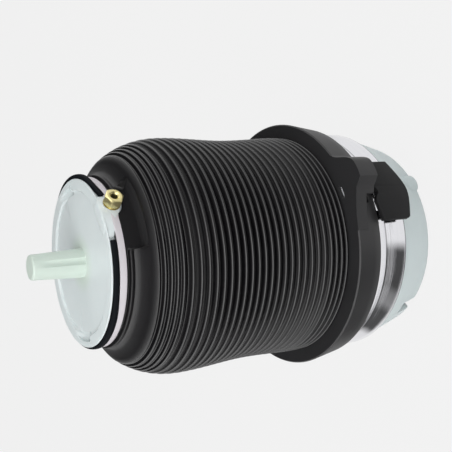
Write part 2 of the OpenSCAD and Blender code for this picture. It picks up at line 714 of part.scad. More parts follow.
module piston_cap() {
    seal_z = cap_foot + 3.2;
    seal_mid = piston_r + seal_r - 0.1;
    disc_z = body_h - cap_t;
    inner_x = insert_x0 - 3.4;
    color("honeydew") difference() {
        union() {
            ring_of([
                [0, disc_z], [cavity_r - 1, disc_z], [cavity_r, disc_z - 1],
                [cavity_r, tube_top + 0.2], [piston_r + fit_gap, tube_top + 0.2],
                [piston_r + fit_gap, cap_foot + 0.6], [piston_r + fit_gap + 0.6, cap_foot],
                [skirt_r - 2.4, cap_foot], [skirt_r - 1.4, cap_foot + 1],
                [skirt_r - 1.4, bead_z0 - 1], [skirt_r, bead_z0 + 0.5],
                [skirt_r, strip_z0 - 0.2], [strip_in_r, strip_z0 - 0.2],
                [strip_in_r, strip_z1 + 0.1], [cap_r - 0.2, strip_z1 + 0.1],
                [cap_r, strip_z1 + 0.3], [cap_r, body_h - 0.5], [cap_r - 0.6, body_h],
                [recess_r + 1.2, body_h], [recess_r, body_h - recess_d],
                [0, body_h - recess_d]]);
            // boss of the air fitting, outside and inside the skirt
            along_x(skirt_r - 8, boss_end, boss_r);
            along_x(inner_x, skirt_r - 4, boss_r);
            // full rim between the strip's ends
            arc_of([[strip_in_r - 0.5, strip_z0], [cap_r, strip_z0],
                    [cap_r, strip_z1 + 0.2], [strip_in_r - 0.5, strip_z1 + 0.2]],
                   strip_to + 0.3, 360 - strip_to + strip_from - 0.6);
            // flare that fairs the boss into the rim
            translate([0, 0, band_z1 + 0.4]) linear_extrude(strip_z1 - band_z1 - 0.3) polygon([
                [skirt_r - 5, -2.3 * boss_r], [cap_r - 1.4, -1.8 * boss_r],
                [cap_r - 0.2, -1.4 * boss_r], [boss_end - 0.4, -boss_r], [boss_end - 0.4, boss_r],
                [cap_r - 0.2, 1.3 * boss_r], [skirt_r - 5, 1.3 * boss_r]]);
            // spigot, buried in the disc
            translate([0, 0, body_h - recess_d - 2]) ring_of([
                [0, 0], [spigot_root_r + 0.1, 0], [spigot_tip_r, spigot_len + 0.4],
                [spigot_tip_r - 0.6, spigot_len + 1.5], [spigot_tip_r - 1.8, spigot_len + 2],
                [0, spigot_len + 2]]);
        }
        along_x(insert_x0 - 1.1, boss_end + 1, insert_r + fit_gap / 4);
        along_x(inner_x - 3, insert_x0, port_r);
        o_ring(seal_mid, seal_z, seal_r + fit_gap);
        // flutes along the spigot
        for (i = [0 : flutes - 1])
            rotate([0, 0, 45 + i * 360 / flutes])
                translate([spigot_root_r + flute_r * 0.35, 0, body_h - recess_d])
                    rotate([0, -atan((spigot_root_r - spigot_tip_r) / spigot_len), 0])
                        cylinder(h = spigot_len + 4, r = flute_r, $fn = 32);
        // crescent pockets at the edge of the recess
        for (a = crescent_at)
            arc_of([[recess_r - 1.5, body_h - crescent_d], [recess_r + crescent_w, body_h - crescent_d],
                    [recess_r + crescent_w, body_h + 1], [recess_r - 1.5, body_h + 1]],
                   a, crescent_angle);
    }
}

module piston_tube() {
    color("silver") ring_of([
        [tube_bore, tube_foot + 0.2], [piston_r, tube_foot + 0.2],
        [piston_r, tube_top - 0.6], [piston_r - 0.6, tube_top],
        [tube_bore, tube_top]]);
}

module tube_seal() {
    color("dimgray") o_ring(piston_r + seal_r - 0.05, cap_foot + 3.2, seal_r - 0.05);
}

module piston_head() {
    seal_z = tube_foot + 4;
    spigot = tube_bore - fit_gap;
    ring_z = tube_foot + head_spigot_h;
    color("lightgray") difference() {
        ring_of([
            [head_port_r, head_z + 1], [head_port_r + 1, head_z], [piston_r - 1, head_z],
            [piston_r, head_z + 1], [piston_r, tube_foot], [spigot, tube_foot],
            [spigot, ring_z - 1], [spigot - 1, ring_z], [spigot - 5, ring_z],
            [spigot - 7, head_z + 8], [head_port_r + 4, head_z + 8],
            [head_port_r, head_z + 6]]);
        o_ring(spigot - seal_r + fit_gap, seal_z, seal_r + fit_gap);
        ring_of([[spigot - 1.3, ring_z - 4.1], [spigot + 1, ring_z - 4.1],
                 [spigot + 1, ring_z - 2.5], [spigot - 1.3, ring_z - 2.5]]);
    }
}

module head_seal() {
    color("dimgray") o_ring(tube_bore - seal_r - 0.05, tube_foot + 4, seal_r - 0.05);
}

module head_snap_ring() {
    z = tube_foot + head_spigot_h;
    r = tube_bore - fit_gap;
    color("gray") arc_of([[r - 1.2, z - 4], [r - 0.1, z - 4], [r - 0.1, z - 2.6], [r - 1.2, z - 2.6]],
                         8, 344);
}

module sleeve_inner_clamp() {
    r = sleeve_in_r + sleeve_wall + fit_gap;
    z = sleeve_inner_end + 2.5;
    color("gainsboro") ring_of([
        [r, z], [r + clamp_t - 0.4, z], [r + clamp_t, z + 0.4],
        [r + clamp_t, z + clamp_h - 0.4], [r + clamp_t - 0.4, z + clamp_h], [r, z + clamp_h]]);
}

module boot_clamp_band() {
    r = collar_out + fit_gap;
    gap = (boss_r + 0.4) / r * 57.3;
    color("lavender") arc_of([
        [r, band_z0], [r + band_t - 0.2, band_z0], [r + band_t, band_z0 + 0.3],
        [r + band_t, band_z1 - 0.3], [r + band_t - 0.2, band_z1], [r, band_z1]],
        gap, 360 - 2 * gap);
}

module cap_strip() {
    r = strip_in_r + fit_gap;
    t = strip_r - r;
    color([0.13, 0.14, 0.15]) arc_of([
        [r, strip_z0], [strip_r - t * 0.4, strip_z0], [strip_r - t * 0.1, strip_z0 + strip_h * 0.15],
        [strip_r, strip_z0 + strip_h / 2], [strip_r - t * 0.1, strip_z1 - strip_h * 0.15],
        [strip_r - t * 0.4, strip_z1], [r, strip_z1]], strip_from, strip_to - strip_from);
}

module fitting_insert() {
    color("gold") difference() {
        along_x(insert_x0, boss_end, insert_r);
        along_x(insert_x0 - 1, insert_x0 + 1, port_r + 0.2);
        along_x(insert_x0 + 0.6, seat_x, poppet_r + 0.3);
        along_x(seat_x - 1, boss_end, port_r);
        along_x(seat_x + 1, boss_end + 1, shank_r + 0.05);
    }
}

module fitting_seal() {
    mid = insert_r - ring_seal_r - 0.4;
    color("dimgray") translate([insert_x0 - ring_seal_r - 0.02, 0, fit_z]) rotate([0, 90, 0])
        rotate_extrude() translate([mid, 0]) circle(ring_seal_r, $fn = 24);
}

module valve_spring() {
    x0 = insert_x0 + 0.65;
    len = poppet_x - 1 - x0 - 2 * valve_wire;
    turns = 4;
    color("silver") translate([x0 + valve_wire, 0, fit_z]) rotate([0, 90, 0])
        linear_extrude(len, twist = -360 * turns, slices = turns * 16, $fn = 8)
            translate([poppet_r - 0.9, 0]) circle(valve_wire * 2, $fn = 8);
}

module valve_poppet() {
    color("gold") union() {
        along_x(poppet_x - 0.9, poppet_x, poppet_r);
        along_x(poppet_x - 3.6, poppet_x - 0.8, 1);
    }
}

module line_ferrule() {
    x0 = seat_x + 2.4;
    r = line_r + 0.25;
    color("gold") translate([x0, 0, fit_z]) rotate([0, 90, 0]) ring_of([
        [r, 0], [r + 0.3, 0], [shank_r - 0.35, 1.2],
        [shank_r - 0.35, 2.2], [shank_r - 0.7, 2.5], [r, 2.5]]);
}

module union_nut() {
    corner_r = hex_af / 2 / cos(30);
    color("gold") difference() {
        union() {
            along_x(shank_x, hex_x + 1, shank_r);
            intersection() {
                translate([hex_x, 0, fit_z]) rotate([0, 90, 0])
                    cylinder(h = hex_h, r = corner_r, $fn = 6);
                // turned chamfers on the hexagon's ends
                translate([hex_x, 0, fit_z]) rotate([0, 90, 0]) ring_of([
                    [0, 0], [corner_r - 0.7, 0], [corner_r, 0.5], [corner_r, hex_h - 0.9],
                    [corner_r - 1.5, hex_h], [0, hex_h]]);
            }
        }
        along_x(shank_x - 1, hex_x + hex_h + 1, line_r);
        // countersink round the mouth
        translate([hex_x + hex_h - 1, 0, fit_z]) rotate([0, 90, 0])
            cylinder(h = 1.01, r1 = line_r, r2 = line_r + 1.2);
    }
}

base_seat();
base_seal();
outer_guide();
boot_ring();
ring_latch();
sleeve_outer_clamp();
air_sleeve();
dust_boot();
bump_stop();
bump_stop_cup();
cup_screw();
piston_cap();
piston_tube();
tube_seal();
piston_head();
head_seal();
head_snap_ring();
sleeve_inner_clamp();
boot_clamp_band();
cap_strip();
fitting_insert();
fitting_seal();
valve_spring();
valve_poppet();
line_ferrule();
union_nut();
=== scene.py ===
import math

import bmesh
import bpy
from mathutils import Matrix, Vector


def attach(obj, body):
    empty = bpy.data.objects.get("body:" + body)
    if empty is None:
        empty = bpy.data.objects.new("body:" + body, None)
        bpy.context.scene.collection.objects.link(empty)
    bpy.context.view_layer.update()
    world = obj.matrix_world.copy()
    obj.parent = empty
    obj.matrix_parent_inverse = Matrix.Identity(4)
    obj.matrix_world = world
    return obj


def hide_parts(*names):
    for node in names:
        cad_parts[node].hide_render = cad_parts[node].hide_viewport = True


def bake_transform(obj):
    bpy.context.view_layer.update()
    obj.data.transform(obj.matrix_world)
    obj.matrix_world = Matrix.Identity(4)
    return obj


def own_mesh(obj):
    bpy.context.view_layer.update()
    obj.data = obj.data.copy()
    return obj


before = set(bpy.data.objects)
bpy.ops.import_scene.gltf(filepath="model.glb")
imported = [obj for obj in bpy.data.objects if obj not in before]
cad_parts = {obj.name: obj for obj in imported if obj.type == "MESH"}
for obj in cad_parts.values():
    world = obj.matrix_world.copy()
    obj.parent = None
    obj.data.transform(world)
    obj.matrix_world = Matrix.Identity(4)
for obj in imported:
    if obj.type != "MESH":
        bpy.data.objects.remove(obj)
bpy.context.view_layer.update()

# Studio: the spring stands on its base on a pale floor, and the camera looks down on it from the
# side of the air fitting, rolled until the spigot points left, as a product photographer frames it.
# Weak soft lamps and an even world light it, and mirror rays see the cards and glows given below.
FITTING_TURN = math.radians(42)
CAMERA_SPOT = (0.4462, 0.0344, 0.4027)
VIEW_RIGHT = (0.52250, -0.05502, -0.85087)
VIEW_UP = (0.0, 0.99791, -0.06453)
LENS = 57.35
BACKGROUND = 0.887


def turned(point, angle):
    """A point turned about the spring's axis."""
    return Matrix.Rotation(angle, 3, "Z") @ Vector(point)


def look(spot, right, up, lens):
    """A camera at spot with its own right and up directions."""
    data = bpy.data.cameras.new("camera")
    data.lens = lens
    data.sensor_width = 36.0
    data.clip_start = 0.01
    camera = bpy.data.objects.new("camera", data)
    bpy.context.scene.collection.objects.link(camera)
    across = Vector(right).normalized()
    back = across.cross(Vector(up)).normalized()
    stand = Matrix((across, back.cross(across), back)).transposed()
    camera.matrix_world = Matrix.Translation(Vector(spot)) @ stand.to_4x4()
    return camera


spot = turned(CAMERA_SPOT, -FITTING_TURN)
right = turned(VIEW_RIGHT, -FITTING_TURN)
upward = turned(VIEW_UP, -FITTING_TURN)
bpy.context.scene.camera = look(spot, right, upward, LENS)
bpy.context.scene.view_settings.view_transform = "Standard"


def lamp(name, place, target, size, power):
    """A softbox that faces a point. It lights surfaces and leaves no mirror image on them."""
    data = bpy.data.lights.new(name, "AREA")
    data.shape = "RECTANGLE"
    data.size, data.size_y = size
    data.energy = power
    lit = bpy.data.objects.new(name, data)
    bpy.context.scene.collection.objects.link(lit)
    lit.location = place
    lit.rotation_mode = "QUATERNION"
    lit.rotation_quaternion = (Vector(target) - Vector(place)).to_track_quat("-Z", "Y")
    lit.visible_glossy = False


middle = Vector((0, 0, 0.12))
lamp("key_light", spot - upward * 0.27 - right * 0.10, middle, (0.80, 0.34), 3.0)
lamp("side_light", upward * 0.80 - right * 0.35 + spot * 0.2, middle, (0.5, 0.5), 2.0)
lamp("top_light", (0, 0, 1.1), middle, (0.6, 0.6), 1.3)


class Signal:
    """One output of a shader node. Arithmetic on it adds Math nodes."""

    def __init__(self, socket):
        self.socket = socket

    @staticmethod
    def node(tree, kind, settings, sockets, output=0):
        """Adds any node: its settings first, then the values or links of its sockets."""
        made = tree.nodes.new(kind)
        for name, value in settings.items():
            if name == "stops":
                ramp = made.color_ramp.elements
                while len(ramp) < len(value):
                    ramp.new(0.5)
                for stop, (place, color) in zip(ramp, value):
                    stop.position = place
                    stop.color = (*color, 1.0)
            else:
                setattr(made, name, value)
        for name, value in sockets.items():
            if isinstance(value, Signal):
                tree.links.new(value.socket, made.inputs[name])
            else:
                made.inputs[name].default_value = value
        return Signal(made.outputs[output]) if made.outputs else None

    def math(self, operation, *values):
        """This signal through a Math node, with any further inputs after it."""
        sockets = {0: self}
        sockets.update({i + 1: value for i, value in enumerate(values)})
        return Signal.node(self.socket.id_data, "ShaderNodeMath", {"operation": operation}, sockets)

    def __add__(self, other):
        return self.math("ADD", other)

    def __sub__(self, other):
        return self.math("SUBTRACT", other)

    def __rsub__(self, other):
        return self.math("MULTIPLY", -1.0).math("ADD", other)

    def __mul__(self, other):
        return self.math("MULTIPLY", other)

    def __pow__(self, other):
        return self.math("POWER", other)

    __radd__ = __add__
    __rmul__ = __mul__

    def step(self, low, high):
        """0 below low and 1 above high, with a smooth change between them."""
        return Signal.node(
            self.socket.id_data,
            "ShaderNodeMapRange",
            {"interpolation_type": "SMOOTHSTEP"},
            {"Value": self, "From Min": low, "From Max": high},
        )

    def within(self, rise, fall):
        """0 below the first range, 1 between the two ranges and 0 above the second."""
        return self.step(*rise) * (1 - self.step(*fall))


class Finish:
    """A material while it is mixed: its node tree, the piece's own coordinates, and its shader."""

    def __init__(self, name):
        self.material = bpy.data.materials.new(name)
        self.material.use_nodes = True
        self.tree = self.material.node_tree
        self.tree.nodes.clear()
        self.place = self.add("ShaderNodeTexCoord", {}, {}, "Object")
        x, y, z = (self.add("ShaderNodeSeparateXYZ", {}, {0: self.place}, i) for i in range(3))
        self.x, self.y, self.z = x, y, z
        self.radius = (x * x + y * y) ** 0.5

    def add(self, kind, settings, sockets, output=0):
        """Adds any node to the material."""
        return Signal.node(self.tree, kind, settings, sockets, output)

    def noise(self, scale, detail=2.0, stretch=(1, 1, 1)):
        """Cloudy noise on the piece's coordinates, stretched along X, Y and Z."""
        spread = self.add("ShaderNodeMapping", {}, {"Vector": self.place, "Scale": stretch})
        return self.add("ShaderNodeTexNoise", {},
                        {"Vector": spread, "Scale": scale, "Detail": detail, "Roughness": 0.5})

    def blend(self, mask, low, high):
        """Colour low where the mask is 0 and high where it is 1."""
        sockets = {"Factor": mask}
        for name, color in ((6, low), (7, high)):
            sockets[name] = color if isinstance(color, Signal) else (*color, 1.0)
        return self.add("ShaderNodeMix", {"data_type": "RGBA"}, sockets, 2)

    def bump(self, height, strength, distance):
        """A normal bent by a height signal."""
        return self.add("ShaderNodeBump", {},
                        {"Height": height, "Strength": strength, "Distance": distance})

    def shade(self, **sockets):
        """Ends the material in a Principled shader with these sockets."""
        named = {name.replace("_", " "): value for name, value in sockets.items()}
        shader = self.add("ShaderNodeBsdfPrincipled", {}, named)
        self.add("ShaderNodeOutputMaterial", {}, {"Surface": shader})
        return self.material


# What the floor shows to mirror rays alone, so that the bright can has contrast: a pale ring round
# the base, cards by their bearing in degrees, a ring that is a little paler, and the far cards.
BASE_RING, BASE_RING_LEVEL = (0.102, 0.114), 0.86
CARDS = [(-140, 0.85), (-124, 0.80), (-117, 0.05), (-98, 0.05), (-91, 0.24), (-82, 0.18),
         (-76, 0.03), (-50, 0.04), (-43, 0.86), (50, 0.86), (90, 0.60), (150, 0.85)]
PALE_RING, PALE_RING_SHARE = (0.165, 0.180), 0.35
FAR_RING = (0.200, 0.228)
FAR_CARDS = [(-170, 0.5), (-145, 0.6), (-128, 0.05), (-112, 0.08), (-100, 0.45), (-88, 0.10),
             (-70, 0.03), (-22, 0.04), (-12, 0.88), (60, 0.88), (150, 0.6)]
SHADOW_SHARE = 0.04


def by_bearing(levels):
    """The stops of a ramp that gives grey levels by their bearing in degrees."""
    return {"stops": [(0.5 + bearing / 360, (level,) * 3) for bearing, level in levels]}


def bearing_of(x, y):
    """The bearing of the direction x, y as a place on such a ramp: 0 at -180 degrees, 1 at 180."""
    return y.math("ARCTAN2", x) * (1 / math.tau) + 0.5


def ray_kinds(tree):
    """Whether a ray comes from the camera, from a gloss or through a glass, as three signals."""
    return [Signal.node(tree, "ShaderNodeLightPath", {}, {}, kind)
            for kind in ("Is Camera Ray", "Is Glossy Ray", "Is Transmission Ray")]


paper = Finish("pale_floor")
paper_roughness = paper.noise(6.0, 3.0) * 0.02 + 0.76
sheen = paper.add("ShaderNodeBsdfPrincipled", {},
                  {"Base Color": (0.8, 0.8, 0.8, 1), "Roughness": paper_roughness})
floor_bearing = bearing_of(paper.x, paper.y)
cards = paper.add("ShaderNodeValToRGB", by_bearing(CARDS), {"Fac": floor_bearing})
cards = paper.blend(1 - paper.radius.step(*BASE_RING), cards, (BASE_RING_LEVEL,) * 3)
cards = paper.blend(paper.radius.step(*PALE_RING) * PALE_RING_SHARE, cards, (1.0, 1.0, 1.0))
far_cards = paper.add("ShaderNodeValToRGB", by_bearing(FAR_CARDS), {"Fac": floor_bearing})
cards = paper.blend(paper.radius.step(*FAR_RING), cards, far_cards)
from_camera, from_gloss, from_glass = ray_kinds(paper.tree)
shown = paper.blend(from_gloss, (BACKGROUND,) * 3, cards)
glow = paper.add("ShaderNodeEmission", {}, {"Color": shown, "Strength": 1.0})
direct = (from_camera + from_gloss + from_glass).math("MINIMUM", 1.0)
mixed = paper.add("ShaderNodeMixShader", {}, {0: direct * (1 - SHADOW_SHARE), 1: sheen, 2: glow})
paper.add("ShaderNodeOutputMaterial", {}, {"Surface": mixed})
disc = bmesh.new()
bmesh.ops.create_circle(disc, cap_ends=True, radius=6.0, segments=64)
floor_mesh = bpy.data.meshes.new("floor")
disc.to_mesh(floor_mesh)
disc.free()
floor_mesh.materials.append(paper.material)
floor = bpy.data.objects.new("floor", floor_mesh)
bpy.context.scene.collection.objects.link(floor)

# The world's light on surfaces, and its glow in mirror rays: a little everywhere, more overhead and
# on the picture's upper side, and two softboxes. A mirror whose normal lies half-way between the
# camera and a direction shows what glows there, so the softboxes are laid out by the bearing and
# the height of that normal: the first for the folds' upper slopes, the other for the shoulder.
ROOM_LIGHT = 0.53
ROOM_GLOW, OVERHEAD_GLOW, UPPER_SIDE_GLOW = 0.035, 0.12, 0.45
SOFTBOX = [(-150, 0.10), (-115, 0.30), (-95, 0.60), (-60, 0.9), (-38, 0.9), (-22, 0.7), (-8, 0.42),
           (25, 0.30), (50, 0.12)]
SOFTBOX_GLOW = 4.6
SOFTBOX_HEIGHT = (0.40, 0.47), (0.60, 0.66)
SHOULDER_GLOW = [(-150, 0.4), (-120, 1.3), (-80, 2.3), (-50, 2.2), (-20, 0.9), (20, 0.6),
                 (60, 1.2), (90, 0.7)]
SHOULDER_HEIGHT = (0.64, 0.70), (0.74, 0.79)

world = bpy.data.worlds.new("studio")
bpy.context.scene.world = world
world.use_nodes = True
air = world.node_tree
air.nodes.clear()
heading = Signal.node(air, "ShaderNodeTexCoord", {}, {}, "Generated")
overhead = Signal.node(air, "ShaderNodeSeparateXYZ", {}, {0: heading}, "Z")
upper_side = Signal.node(air, "ShaderNodeVectorMath", {"operation": "DOT_PRODUCT"},
                         {0: heading, 1: upward}, "Value")
halfway = Signal.node(air, "ShaderNodeVectorMath", {"operation": "ADD"},
                      {0: heading, 1: (spot - middle).normalized()}, "Vector")
halfway = Signal.node(air, "ShaderNodeVectorMath", {"operation": "NORMALIZE"}, {0: halfway},
                      "Vector")
facing = [Signal.node(air, "ShaderNodeSeparateXYZ", {}, {0: halfway}, axis) for axis in "XYZ"]
slope_bearing = bearing_of(facing[0], facing[1])
softbox = Signal.node(air, "ShaderNodeValToRGB", by_bearing(SOFTBOX), {"Fac": slope_bearing})
shoulder = Signal.node(air, "ShaderNodeValToRGB", by_bearing(SHOULDER_GLOW), {"Fac": slope_bearing})
softboxes = (softbox * facing[2].within(*SOFTBOX_HEIGHT) * SOFTBOX_GLOW
             + shoulder * facing[2].within(*SHOULDER_HEIGHT))
mirrored = (upper_side.step(0.55, 0.95) * UPPER_SIDE_GLOW
            + overhead.step(0.80, 1.0) * OVERHEAD_GLOW + ROOM_GLOW + softboxes)
from_camera, from_gloss, from_glass = ray_kinds(air)
brightness = mirrored * from_gloss + (1 - from_gloss) * ROOM_LIGHT
open_view = (from_camera + from_glass).math("MINIMUM", 1.0)
brightness = open_view * BACKGROUND + (1 - open_view) * brightness
sky = Signal.node(air, "ShaderNodeBackground", {}, {"Color": (1, 1, 1, 1), "Strength": brightness})
Signal.node(air, "ShaderNodeOutputWorld", {}, {"Surface": sky})

# Base seat: a glass-filled nylon moulding, natural white, whose castellated rim keys into the
# suspension arm. The can's edge is rolled under its flange, and a lug stands out of the rim.
MM = 0.001
LUG_TURN, LUG_HALF, LUG_TOP = -8.0, 8.0, 14.0
LUG_ROOT, LUG_KEPT = 73.4, 0.45
# The cap is of the same nylon: paler, greenish about its spigot, with painted shade deep in its
# crescent pockets.
CAP_FROM = (0.15, 0.20)
SPIGOT_FROM, SPIGOT_REACH = (0.236, 0.243), (0.010, 0.022)
PIT_SHADE_FROM, PIT_SHADE_TO = (0.2355, 0.2360), (0.2372, 0.2396)
CRESCENT_IN, CRESCENT_OUT = 44.6, 50.9

seat = Finish("white_plastic")
cloud = seat.noise(60.0, 3.0)
tint = seat.blend(cloud, (0.50, 0.565, 0.57), (0.55, 0.615, 0.62))
paler = seat.blend(cloud, (0.57, 0.625, 0.63), (0.63, 0.68, 0.685))
tint = seat.blend(seat.z.step(*CAP_FROM), tint, paler)
about_spigot = seat.z.step(*SPIGOT_FROM) * (1 - seat.radius.step(*SPIGOT_REACH))
tint = seat.blend(about_spigot, tint, (0.55, 0.63, 0.57))
crescent_shade_band = seat.radius.within((CRESCENT_IN * MM, (CRESCENT_IN + 0.4) * MM),
                                 ((CRESCENT_OUT - 0.4) * MM, CRESCENT_OUT * MM))
# Painted shade: the deep ends of the crescent pockets are coloured dark grey-green.
tint = seat.blend(seat.z.within(PIT_SHADE_FROM, PIT_SHADE_TO) * crescent_shade_band, tint, (0.12, 0.15, 0.145))
white_plastic = seat.shade(
    Base_Color=tint,
    Roughness=seat.noise(35.0) * 0.12 + 0.36,
    Subsurface_Weight=0.15,
    Subsurface_Radius=(0.004, 0.005, 0.005),
    Normal=seat.bump(seat.noise(900.0), 0.08, 0.0002),
)


def cleaned(mesh):
    """Merges points that a bevel or a cut left on top of each other, and drops slivers."""
    bmesh.ops.remove_doubles(mesh, verts=mesh.verts, dist=4e-6)
    bmesh.ops.dissolve_degenerate(mesh, dist=2e-6, edges=mesh.edges)
    bmesh.ops.triangulate(mesh, faces=[f for f in mesh.faces if len(f.verts) > 4])
    twins = {}
    for face in mesh.faces:
        twins.setdefault(frozenset(face.verts), []).append(face)
    bmesh.ops.delete(mesh, geom=[f for same in twins.values() if len(same) > 1 for f in same],
                     context="FACES")
    return mesh


def moulded(node, edge):
    """A CAD node's shape with its sharp edges rounded, as a mould or a tool leaves them."""
    mesh = bmesh.new()
    mesh.from_mesh(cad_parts[node].data)
    bmesh.ops.remove_doubles(mesh, verts=mesh.verts, dist=2e-6)
    bmesh.ops.dissolve_limit(mesh, angle_limit=math.radians(0.5), use_dissolve_boundaries=False,
                             verts=mesh.verts, edges=mesh.edges, delimit=set())
    sharp = [e for e in mesh.edges
             if len(e.link_faces) == 2 and e.calc_face_angle(0) > math.radians(28)]
    bmesh.ops.bevel(mesh, geom=sharp, offset=edge * MM, offset_type="OFFSET", affect="EDGES",
                    segments=2, profile=0.5, material=-1, clamp_overlap=True,
                    harden_normals=False, loop_slide=True)
    return cleaned(mesh)


def piece(mesh, name, material, body, node, crease=35.0):
    """Makes a bmesh the piece that replaces a CAD node, with creases at its sharper edges."""
    for face in mesh.faces:
        face.smooth = True
    for edge in mesh.edges:
        edge.smooth = len(edge.link_faces) == 2 and edge.calc_face_angle(0) < math.radians(crease)
    data = bpy.data.meshes.new(name)
    mesh.to_mesh(data)
    mesh.free()
    data.materials.append(material)
    made = bpy.data.objects.new(name, data)
    bpy.context.scene.collection.objects.link(made)
    if body:
        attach(made, body)
    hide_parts(node)
    return made


seat_shape = moulded("base_seat", 0.5)
for vert in seat_shape.verts:
    bearing = math.degrees(math.atan2(vert.co.y, vert.co.x))
    radius = math.hypot(vert.co.x, vert.co.y) / MM
    if radius > LUG_ROOT and vert.co.z < LUG_TOP * MM and abs(bearing - LUG_TURN) < LUG_HALF:
        kept = (LUG_ROOT + (radius - LUG_ROOT) * LUG_KEPT) / radius
        vert.co.x *= kept
        vert.co.y *= kept
piece(seat_shape, "seat_moulding", white_plastic, "lower_mount", "base_seat")

# Guide can: spun from bright aluminium sheet. Its wide end is rolled over the base seat's flange,
# and it steps in under the boot ring to the long tube in which the sleeve rolls. The piston's tube
# and head, inside, are turned from the same metal.
# Painted shade: the can's colour is darkened below its rolled edge at the foot, and partly along
# its tight fold.
ROLLED_SHADE_TO, ROLLED_SHADE = (0.0340, 0.0346), (0.10, 0.10, 0.11)
FOLD_SHADE_FROM, FOLD_SHADE_TO, FOLD_SHADE_SHARE = (0.0496, 0.0505), (0.0508, 0.0518), 0.6
RIM_FROM = (0.0796, 0.0799)

can = Finish("spun_aluminium")
rings = can.noise(1.0, 4.0, (30, 30, 2600))
swirl = can.noise(1.0, 2.0, (12, 12, 300))
bright = can.blend(swirl, (0.80, 0.80, 0.84), (0.90, 0.90, 0.92))
shaded = (1 - can.z.step(*ROLLED_SHADE_TO)) + can.z.within(FOLD_SHADE_FROM, FOLD_SHADE_TO) * FOLD_SHADE_SHARE
rim = can.z.step(*RIM_FROM)
aluminium = can.shade(
    Base_Color=can.blend(shaded.math("MINIMUM", 1.0), bright, ROLLED_SHADE),
    Metallic=1 - rim * 0.9,
    Roughness=rings * 0.06 + 0.05 + rim * 0.4,
    Normal=can.bump(rings, 0.22, 0.0002),
)


def soften(outline, cut, steps=3):
    """An outline in mm with rounded corners; a point may carry its own cut as a third number."""
    made = []
    count = len(outline)
    for i, point in enumerate(outline):
        here = Vector(point[:2])
        reach = point[2] if len(point) > 2 else cut
        before = Vector(outline[i - 1][:2]) - here
        after = Vector(outline[(i + 1) % count][:2]) - here
        size = min(reach, before.length * 0.48, after.length * 0.48)
        if size < 0.01:
            made.append(here)
            continue
        first = here + before.normalized() * size
        last = here + after.normalized() * size
        for k in range(steps + 1):
            t = k / steps
            made.append(first * (1 - t) ** 2 + here * (2 * t * (1 - t)) + last * t * t)
    return made


def turn(outline, steps, start=0.0, sweep=360.0, closed=True):
    """Spins an outline of radius and height in mm about the spring's axis."""
    mesh = bmesh.new()
    angle = math.radians(start)
    points = [mesh.verts.new((r * MM * math.cos(angle), r * MM * math.sin(angle), z * MM))
              for r, z in outline]
    whole = abs(sweep - 360.0) < 1e-6
    if whole:
        pairs = list(zip(points, points[1:])) + ([(points[-1], points[0])] if closed else [])
        geometry = points + [mesh.edges.new(pair) for pair in pairs]
    else:
        geometry = [mesh.faces.new(points)]
    bmesh.ops.spin(mesh, geom=geometry, cent=(0, 0, 0), axis=(0, 0, 1), dvec=(0, 0, 0),
                   angle=math.radians(sweep), steps=steps, use_merge=whole,
                   use_normal_flip=False, use_duplicate=False)
    bmesh.ops.remove_doubles(mesh, verts=mesh.verts, dist=1e-6)
    bmesh.ops.recalc_face_normals(mesh, faces=mesh.faces)
    return mesh


def dress(material, *nodes):
    """Gives CAD nodes their finish."""
    for name in nodes:
        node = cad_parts[name]
        node.data.materials.clear()
        node.data.materials.append(material)


can_outline = soften([
    (79.3, 33.5, 0), (82.6, 33.5, 0.7), (82.6, 41.5, 5.0), (80.8, 50.8, 1.0),
    (84.8, 59.8, 2.5), (84.8, 80.0, 1.8), (79.8, 80.0, 0.5), (79.8, 77.0, 0.5), (73.0, 77.0, 0.8),
    (73.0, 137.0, 1.2), (74.0, 138.6, 0.7), (74.0, 140.0, 0.6), (71.5, 140.0, 0.8),
    (71.5, 75.5, 1.2), (81.3, 75.5, 1.0), (81.3, 78.5, 0.5), (83.3, 78.5, 0.9), (83.3, 60.2, 2.5),
    (79.3, 51.1, 1.4), (81.1, 41.8, 5.0), (81.1, 35.0, 0.6), (79.3, 35.0, 0),
], 1.0, 4)
piece(turn(can_outline, 240), "guide_can", aluminium, "lower_mount",
      "outer_guide")
dress(aluminium, "piston_tube", "piston_head")

# Boot ring: a satin black glass-filled nylon ring, pushed over the can's seat, that clamps the
# boot's foot. Its lobe is the hood of the latch, and a slot goes through its flange beside it.
ring = Finish("ring_plastic")
ring_plastic = ring.shade(
    Base_Color=ring.blend(ring.noise(50.0), (0.015, 0.015, 0.0158), (0.021, 0.0205, 0.0218)),
    Roughness=ring.noise(40.0) * 0.1 + 0.46,
    Normal=ring.bump(ring.noise(1600.0), 0.1, 0.0002),
)
piece(moulded("boot_ring", 0.45), "clamp_ring", ring_plastic, "lower_mount",
      "boot_ring")

# Latch plate: moulded in matt black nylon, duller than the ring. Its tongue snaps into the ring's
# lobe, which covers it like a hood.
latch = Finish("latch_plastic")
latch_plastic = latch.shade(
    Base_Color=latch.blend(latch.noise(80.0), (0.006, 0.006, 0.0065), (0.009, 0.009, 0.0095)),
    Roughness=0.62,
    Specular_IOR_Level=0.25,
    Normal=latch.bump(latch.noise(1200.0), 0.2, 0.0002),
)
piece(moulded("ring_latch", 0.4), "latch_plate", latch_plastic, "lower_mount",
      "ring_latch")

